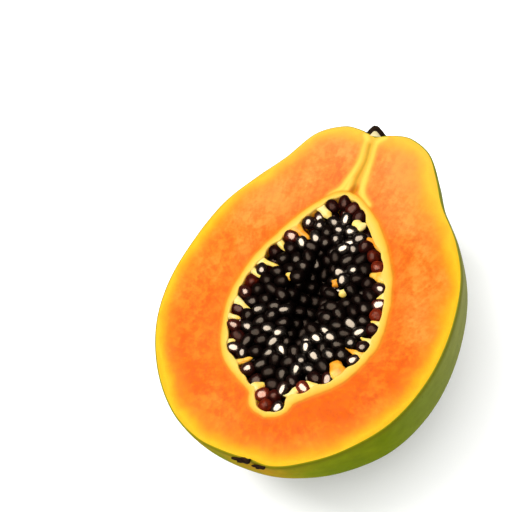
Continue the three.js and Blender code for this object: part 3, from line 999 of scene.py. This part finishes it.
# Painted shade: seeds below this level lose their highlights, so the deep cleft reads dark.
SHADED_LEVEL = -8  # seeds below it are dull, and those 3 mm above it can shine in full

around_seed = np.linspace(0, np.pi, SEED_ROWS)
turn = np.linspace(0, 2 * np.pi, SEED_SIDES, endpoint=False)
ball = np.stack([
    np.repeat(np.cos(around_seed), SEED_SIDES),
    np.outer(np.sin(around_seed), np.cos(turn)).ravel(),
    np.outer(np.sin(around_seed), np.sin(turn)).ravel(),
], 1)
seed_shape = ball / (np.abs(ball) ** SQUARENESS).sum(1, keepdims=True) ** (1 / SQUARENESS)
seed_shape[:, 1:] *= 1 - TAPER * ball[:, :1]
seed_shape *= SEED_SIZE

seed_points, seed_unripe, seed_gloss = [], [], []
for place_mm, rim in zip(seed_places, rim_mm):
    to_wall = np.arctan2(place_mm[1] - HOLLOW_Y, 0.35 * (place_mm[0] + 4))
    heading = Matrix.Rotation(to_wall + draw.normal(0, HEADING_SPREAD), 3, "Z")
    tilt = Matrix.Rotation(draw.normal(0.0, TILT_SPREAD), 3, "Y")
    tilt = tilt @ Matrix.Rotation(draw.uniform(0, 6.3), 3, "X")
    size = draw.normal(1.0, SIZE_SPREAD, 3)
    seed_points.append(seed_shape * size @ np.array(heading @ tilt).T + place_mm)
    near_wall = np.clip((UNRIPE_RIM[1] - rim) / (UNRIPE_RIM[1] - UNRIPE_RIM[0]), 0, 1)
    seed_unripe.append(0.08 + (0.28 + 0.62 * draw.random() ** 1.5) * near_wall)
    if draw.random() < WET_SHARE:
        shine = WET_SHINE + SHINE_RANGE * draw.random()
    else:
        shine = DRY_SHINE * draw.random() ** 2
    # Painted shade: the gloss fades out for seeds deep in the hollow.
    seed_gloss.append(shine * np.clip((place_mm[2] - SHADED_LEVEL) / 3, 0, 1))
print("gloss of the seeds: from", round(min(seed_gloss), 3), "to", round(max(seed_gloss), 3))

# %% [markdown]
# The seeds become two pieces: the upper ones, which show, and the lower ones, seen only in the gaps.

# %% Seed objects
UPPER_LIMIT = -7.6
top_seeds = seed_places[:, 2] > UPPER_LIMIT
seed_grid = grid_faces(SEED_ROWS, SEED_SIDES, closed=True)


def seed_piece(name, chosen):
    """One piece from the chosen seeds."""
    indices = np.flatnonzero(chosen)
    piece = make_piece(
        name, np.vstack([seed_points[i] for i in indices]),
        np.vstack([seed_grid + n * len(seed_shape) for n in range(len(indices))]), [seed_material],
        readings={
            "unripe": np.repeat([seed_unripe[i] for i in indices], len(seed_shape)),
            "gloss": np.repeat([seed_gloss[i] for i in indices], len(seed_shape)),
        },
    )
    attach(piece, "root")
    return piece


upper_seeds = seed_piece("papaya_seeds_upper", top_seeds)
lower_seeds = seed_piece("papaya_seeds_lower", ~top_seeds)
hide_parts("seeds")

# %% [markdown]
# ## Dark juice
# Below the seeds lies more of the same: seeds and dark juice. More layers of seeds could be added,
# but nobody would see them one by one. One slab stands in for them, so that no pale wall shows
# through the gaps. It follows the hollow's outline, set in a little, and sinks along the cleft.

# %% Dark bed below the seeds
BED_INSET = 4.5
SPINE_ENDS = (-42, 34)
BED_RINGS = ((0.02, -12), (0.3, -12), (0.6, -11), (0.9, -10.5), (1.0, -11.5), (0.9, -13), (0.02, -19))
BED_CLEFT = 7.0
BED_CLEFT_SIZE = (24, 8)

bed_material, add = new_material("papaya_dark_juice")
finish_material(add, {"Base Color": "#1C0805", "Roughness": 0.3, "IOR": 1.36})
bed_edge = inner_ring[::4]
spine = np.stack([np.clip(bed_edge[:, 0], *SPINE_ENDS), np.full(len(bed_edge), HOLLOW_Y)], 1)
reach_out = np.linalg.norm(bed_edge - spine, axis=1, keepdims=True)
bed_edge = spine + (bed_edge - spine) * np.clip(1 - BED_INSET / reach_out, 0, 1)
bed_rings = []
for share_out, level in BED_RINGS:
    ring = spine + (bed_edge - spine) * share_out
    off = (ring - CLEFT_MIDDLE[:2]) / BED_CLEFT_SIZE
    cleft = BED_CLEFT * np.exp(-off[:, :1] ** 4 - off[:, 1:] ** 2)
    bed_rings.append(np.hstack([ring, level - (cleft if share_out < 1 else 0 * cleft)]))
bed_faces = capped_faces(len(BED_RINGS), len(bed_edge))
bed = make_piece("papaya_seed_bed", np.vstack(bed_rings), bed_faces, [bed_material])
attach(bed, "root")

# %% [markdown]
# ## Stalk
# The stalk was cut through with the fruit: dark, wrinkled bark outside and pale dry pith on the cut.
# It is a half lathe along the fruit, a stack of half rings closed by the cut, and it leans a little.
# A spun curve would make a full one, and the upper half would have to be cut off.

# %% Half lathe, bark and pith
def half_lathe(rings, base_y, wrinkle, dent, sides=25):
    """Closed half lathe below the cut from (place along, radius) rings, its base bent by dent."""
    turn = np.linspace(0, np.pi, sides)
    rows = []
    for i, (along, radius) in enumerate(rings):
        bark = 1 + wrinkle * np.sin(11 * turn + 0.6 * along) * np.sin(turn) ** 0.5
        bent = along + dent * np.cos(turn) ** 2 * (i == 0)
        rows.append(np.stack([
            bent, base_y - radius * bark * np.cos(turn), -radius * bark * np.sin(turn),
        ], 1))
    points = np.vstack(rows)
    faces = capped_faces(len(rows), sides, closed=False)
    last = sides - 1
    for i in range(len(rows) - 1):
        faces.append([i * sides, (i + 1) * sides, (i + 1) * sides + last, i * sides + last])
    return points, faces


BARK_MM = 1.4
bark_material, add = new_material("papaya_stalk_bark")
place = add("TexCoord").outputs["Object"]
bark_noise = add("TexNoise", {"Vector": place, "Scale": per_mm(BARK_MM), "Detail": 4.0})
bark_colour = add("ValToRGB", [bark_noise], stops=[(0.3, "#120804"), (0.75, "#38220F")])
bark_bump = add("Bump", {"Strength": 0.8, "Distance": 0.4 * MM, "Height": bark_noise})
finish_material(add, {
    "Base Color": bark_colour, "Roughness": 0.8, "Specular IOR Level": 0.1, "Normal": bark_bump,
})
pith_material, add = new_material("papaya_stalk_pith")
finish_material(add, {"Base Color": "#E8D8A0", "Roughness": 0.7})

# %% [markdown]
# Bark and pith could be one mesh with two materials. Two plain half lathes are simpler, and the pith
# stands a hair above the cut of the bark, so that it shows as its own surface.

# %% Stalk objects
STUB = [(77.2, 5.3), (78.6, 4.5), (80.0, 3.5), (81.2, 2.5), (82.2, 1.6), (82.75, 0.7)]
PITH = [(76.9, 2.7), (78.0, 2.1), (79.0, 1.4), (79.8, 0.6)]
PITH_PROUD = 0.12
STALK_LEAN = 0.36

stub_points, stub_faces = half_lathe(STUB, -0.4, 0.06, dent=1.1)
stub_points[:, 1] += STALK_LEAN * (stub_points[:, 0] - STUB[0][0])
stub = make_piece("papaya_stalk_bark", stub_points, stub_faces, [bark_material])
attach(stub, "root")
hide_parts("stem_stub")
pith_points, pith_faces = half_lathe(PITH, -0.1, 0.03, dent=0.4)
pith_points[:, 1] += STALK_LEAN * (pith_points[:, 0] - STUB[0][0])
pith_points[:, 2] += PITH_PROUD
pith = make_piece("papaya_stalk_pith", pith_points, pith_faces, [pith_material])
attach(pith, "root")

# %% [markdown]
# ## Blossom scar
# The blossom end keeps two small dark flakes, dried hard. Each is the seed's ball stretched flat,
# leaned against the skin and made ragged by two waves, which is quicker than modelling them.

# %% Scar object
FLAKES = [((-77.7, 4.6, -1.4), (1.1, 4.6, 1.7), -16), ((-78.4, -3.1, -2.0), (0.9, 3.6, 1.2), -22)]
flake_points, flake_faces = [], []
for middle_mm, size, lean in FLAKES:
    ragged = 1 + 0.16 * np.sin(7 * ball[:, 1:2] + 4 * ball[:, 2:]) + 0.1 * np.sin(15 * ball[:, 1:2])
    leaned = np.array(Matrix.Rotation(math.radians(lean), 3, "X"))
    flake_faces.append(seed_grid + len(flake_faces) * len(ball))
    flake_points.append(ball * size * ragged @ leaned.T + middle_mm)
scar = make_piece("papaya_blossom_scar", np.vstack(flake_points), np.vstack(flake_faces), [bark_material])
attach(scar, "root")
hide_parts("blossom_scar")

# %% [markdown]
# ## Floor
# A plain white ground, as in a catalogue picture. A curved backdrop is the usual way, but one large
# square is enough for a view from above. The camera sees it nearly white. For the light that bounces
# off it to the fruit it is a middle grey, so that it doesn't wash out the skin.

# %% White floor
FLOOR_GLOW = 0.05
FLOOR_HALF = 3
floor_material, add = new_material("studio_floor_white")
seen = add("LightPath").outputs["Is Camera Ray"]
finish_material(add, {
    "Base Color": add("Mix", {"Factor": seen, 6: "#B0B0B0", 7: "#F8F8F8"}, data_type="RGBA"),
    "Roughness": 0.9,
    "Specular IOR Level": 0.0,
    "Emission Color": "#FFFFFF",
    "Emission Strength": add("MapRange", [seen, 0.0, 1.0, 0.0, FLOOR_GLOW]),
})
floor_mesh = bpy.data.meshes.new("studio_floor")
floor_corners = [(x * FLOOR_HALF, y * FLOOR_HALF, 0) for x, y in ((-1, -1), (1, -1), (1, 1), (-1, 1))]
floor_mesh.from_pydata(floor_corners, [], [(0, 1, 2, 3)])
floor_mesh.materials.append(floor_material)
floor = bpy.data.objects.new("studio_floor", floor_mesh)
bpy.context.scene.collection.objects.link(floor)

# %% [markdown]
# ## Lights
# One large soft key light stands above and behind on the left. Two more soft boxes are linked to
# what they light: a warm disk that only draws the highlights on the wet seeds, and one that only
# brightens the floor round the shadow. The even surround is dimmer in mirrored rays, which keeps
# the colours of the flesh and the skin deep.

# %% Soft boxes and surround
SURROUND = (0.5, 0.15)  # strength, and strength in mirrored rays
TARGET_HEIGHT = 0.05


def area_light(name, direction, distance, size, power, colour="#FFFFFF"):
    """A square area light that looks at the fruit from the given direction."""
    light = bpy.data.lights.new(name, "AREA")
    light.size = size
    light.energy = power
    light.color = linear(colour)[:3]
    lamp = bpy.data.objects.new(name, light)
    bpy.context.scene.collection.objects.link(lamp)
    toward = Vector(direction).normalized()
    lamp.location = toward * distance + Vector((0, 0, TARGET_HEIGHT))
    lamp.rotation_euler = toward.to_track_quat("Z", "Y").to_euler()
    return lamp


def light_only(lamp, name, pieces):
    """Lets a lamp reach only the given pieces."""
    lit = bpy.data.collections.new(name)
    for piece in pieces:
        lit.objects.link(piece)
    lamp.light_linking.receiver_collection = lit


area_light("key_softbox", (0.12, 0.64, 1.6), 0.9, 0.6, 8.0)
seed_lamp = area_light("seed_shine_softbox", (-0.2, 0.0, 0.98), 0.7, 1.25, 300.0, "#FFEBD0")
seed_lamp.data.shape = "DISK"
seed_lamp.visible_diffuse = False
light_only(seed_lamp, "wet_seeds", (upper_seeds, lower_seeds))
floor_lamp = area_light("floor_softbox", (-0.12, -0.4, 1.0), 1.1, 1.8, 18.0)
light_only(floor_lamp, "floor_only", (floor,))

world = bpy.data.worlds.new("studio_surround")
world.use_nodes = True
surround = world.node_tree.nodes["Background"]
surround.inputs["Color"].default_value = linear("#FFFFFF")
add = partial(add_node, world.node_tree)
strength = add("MapRange", [add("LightPath").outputs["Is Glossy Ray"], 0.0, 1.0, *SURROUND])
world.node_tree.links.new(strength.outputs[0], surround.inputs["Strength"])
bpy.context.scene.world = world
bpy.context.scene.view_settings.view_transform = "Standard"
print("lamps:", len(bpy.data.lights))

# %% [markdown]
# ## Camera
# The camera looks down at the cut face from beyond the blossom end, through a short telephoto lens,
# with the fruit running up to the right. A constraint could aim it, but it is also turned about its
# own axis, so its three directions are worked out here.

# %% Camera
TARGET = (np.array([10.2, 32.2, 0.0]) + SHIFT) * MM
DISTANCE = 0.605
ELEVATION = math.radians(55)
AZIMUTH = math.radians(-132.632)
ROLL = math.radians(-31)

back = Vector((
    math.cos(ELEVATION) * math.cos(AZIMUTH), math.cos(ELEVATION) * math.sin(AZIMUTH), math.sin(ELEVATION),
))
level_right = Vector((0, 0, 1)).cross(back).normalized()
level_up = back.cross(level_right)
right = level_right * math.cos(ROLL) + level_up * math.sin(ROLL)
up = back.cross(right)

camera_data = bpy.data.cameras.new("camera")
camera_data.lens = 100
camera_data.sensor_width = 36
camera_data.clip_start = 0.01
camera = bpy.data.objects.new("camera", camera_data)
bpy.context.scene.collection.objects.link(camera)
turned = Matrix((right, up, back)).transposed().to_4x4()
camera.matrix_world = Matrix.Translation(Vector(TARGET) + back * DISTANCE) @ turned
bpy.context.scene.camera = camera
print("camera stands", round(DISTANCE * 1000), "mm from the cut face")
